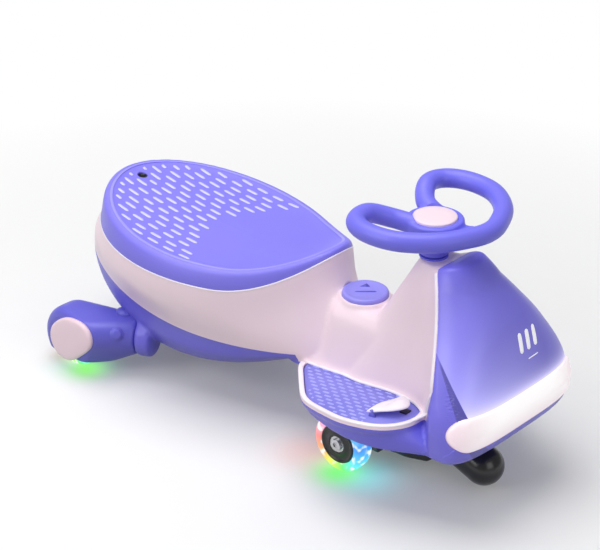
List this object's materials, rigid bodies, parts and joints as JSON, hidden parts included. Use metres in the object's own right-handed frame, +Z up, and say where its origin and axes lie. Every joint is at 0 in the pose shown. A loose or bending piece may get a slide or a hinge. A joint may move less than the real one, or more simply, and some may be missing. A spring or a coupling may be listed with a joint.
{
  "type": "wiggle car",
  "caption": "Low ride-on toy steered by a heart-shaped wheel: saddle seat, footrests, nose lamp, lit castor wheels in front and podded wheels at the rear.",
  "frame": {"origin": "on the ground under the middle of the overall box", "axes": "+X forward along the length, +Y to the rider's left, +Z up"},
  "size_m": [0.7306, 0.3302, 0.3668],
  "materials": {
    "purple_plastic": "moulded, satin gloss",
    "pad_plastic": "moulded, ribbed",
    "pink_plastic": "moulded, satin gloss",
    "black_plastic": "moulded, gloss",
    "lamp_lens": "milky, lit from behind",
    "lamp_board": "plain",
    "bush_plastic": "plain",
    "battery_wrap": "shrink wrap",
    "circuit_board": "plain",
    "steel": "zinc plated",
    "roller_rubber": "plain",
    "clear_tyre": "clear cast urethane",
    "hub_plastic": "moulded, gloss",
    "light_bead": "clear lamp body",
    "bearing_steel": "ground"
  },
  "bodies": {
    "body": {"upper_shell": "pink_plastic", "lower_shell": "purple_plastic", "seat_cover": "purple_plastic", "strap_eyelet": "black_plastic", "front_cowl": "purple_plastic", "headlight_lens": "lamp_lens", "headlight_board": "lamp_board", "footrest_pad_left": "pad_plastic", "footrest_pad_right": "pad_plastic", "upper_steering_bush": "bush_plastic", "lower_steering_bush": "bush_plastic", "battery_pack": "battery_wrap", "battery_cover": "purple_plastic", "battery_cover_screws": "steel", "control_board": "circuit_board", "speaker": "black_plastic", "charging_inlet": "black_plastic", "rear_leg_left": "purple_plastic", "rear_leg_right": "purple_plastic", "leg_bolts": "steel", "wheel_cover_left": "pink_plastic", "wheel_cover_right": "pink_plastic", "rear_axles": "steel", "drive_gearmotor": "steel", "pedal_pin": "steel", "pedal_switch": "black_plastic"},
    "steering": {"steering_wheel": "purple_plastic", "steering_shaft": "steel", "steering_wheel_bolt": "steel", "horn_board": "circuit_board", "front_yoke": "black_plastic", "thrust_washer": "steel", "yoke_bolt": "steel", "front_axle": "steel", "front_wheel_bolts": "steel", "front_wheel_spacers": "steel", "roller_pin": "steel"},
    "anti_tip_roller": {"anti_tip_roller": "roller_rubber"},
    "horn_button": {"horn_button": "pink_plastic"},
    "start_button": {"start_button": "purple_plastic"},
    "foot_pedal": {"foot_pedal": "pink_plastic"},
    "front_wheel_left": {"front_tyre_left": "clear_tyre", "front_hub_left": "hub_plastic", "front_beads_left": "light_bead", "front_bearings_left": "bearing_steel"},
    "front_wheel_right": {"front_tyre_right": "clear_tyre", "front_hub_right": "hub_plastic", "front_beads_right": "light_bead", "front_bearings_right": "bearing_steel"},
    "rear_wheel_left": {"rear_tyre_left": "clear_tyre", "rear_hub_left": "hub_plastic", "rear_beads_left": "light_bead", "rear_bearings_left": "bearing_steel"},
    "rear_wheel_right": {"rear_tyre_right": "clear_tyre", "rear_hub_right": "hub_plastic", "rear_beads_right": "light_bead", "rear_bearings_right": "bearing_steel"}
  },
  "joints": [
    {"name": "steering_turn", "type": "hinge", "parent": "body", "child": "steering", "pos_m": [0.214, 0, 0.2], "axis": [0, 0, 1], "continuous": true},
    {"name": "front_wheel_left_spin", "type": "hinge", "parent": "steering", "child": "front_wheel_left", "pos_m": [0.146, 0.0845, 0.04], "axis": [0, 1, 0], "continuous": true},
    {"name": "front_wheel_right_spin", "type": "hinge", "parent": "steering", "child": "front_wheel_right", "pos_m": [0.146, -0.0845, 0.04], "axis": [0, 1, 0], "continuous": true},
    {"name": "rear_wheel_left_spin", "type": "hinge", "parent": "body", "child": "rear_wheel_left", "pos_m": [-0.305, 0.132, 0.04], "axis": [0, 1, 0], "continuous": true},
    {"name": "rear_wheel_right_spin", "type": "hinge", "parent": "body", "child": "rear_wheel_right", "pos_m": [-0.305, -0.132, 0.04], "axis": [0, 1, 0], "continuous": true},
    {"name": "roller_spin", "type": "hinge", "parent": "steering", "child": "anti_tip_roller", "pos_m": [0.306, 0, 0.02], "axis": [0, 1, 0], "continuous": true},
    {"name": "horn_press", "type": "slide", "parent": "steering", "child": "horn_button", "axis": [0, 0, -1], "range_m": [0, 0.003], "stiffness_N_per_m": 900, "springref_m": -0.001},
    {"name": "start_press", "type": "slide", "parent": "body", "child": "start_button", "axis": [0, 0, -1], "range_m": [0, 0.003], "stiffness_N_per_m": 900, "springref_m": -0.001},
    {"name": "pedal_press", "type": "hinge", "parent": "body", "child": "foot_pedal", "pos_m": [0.2293, -0.116, 0.13823], "axis": [0, 1, 0], "range_deg": [0, 10], "stiffness_Nm_per_rad": 0.5, "springref_deg": -2.86}
  ]
}
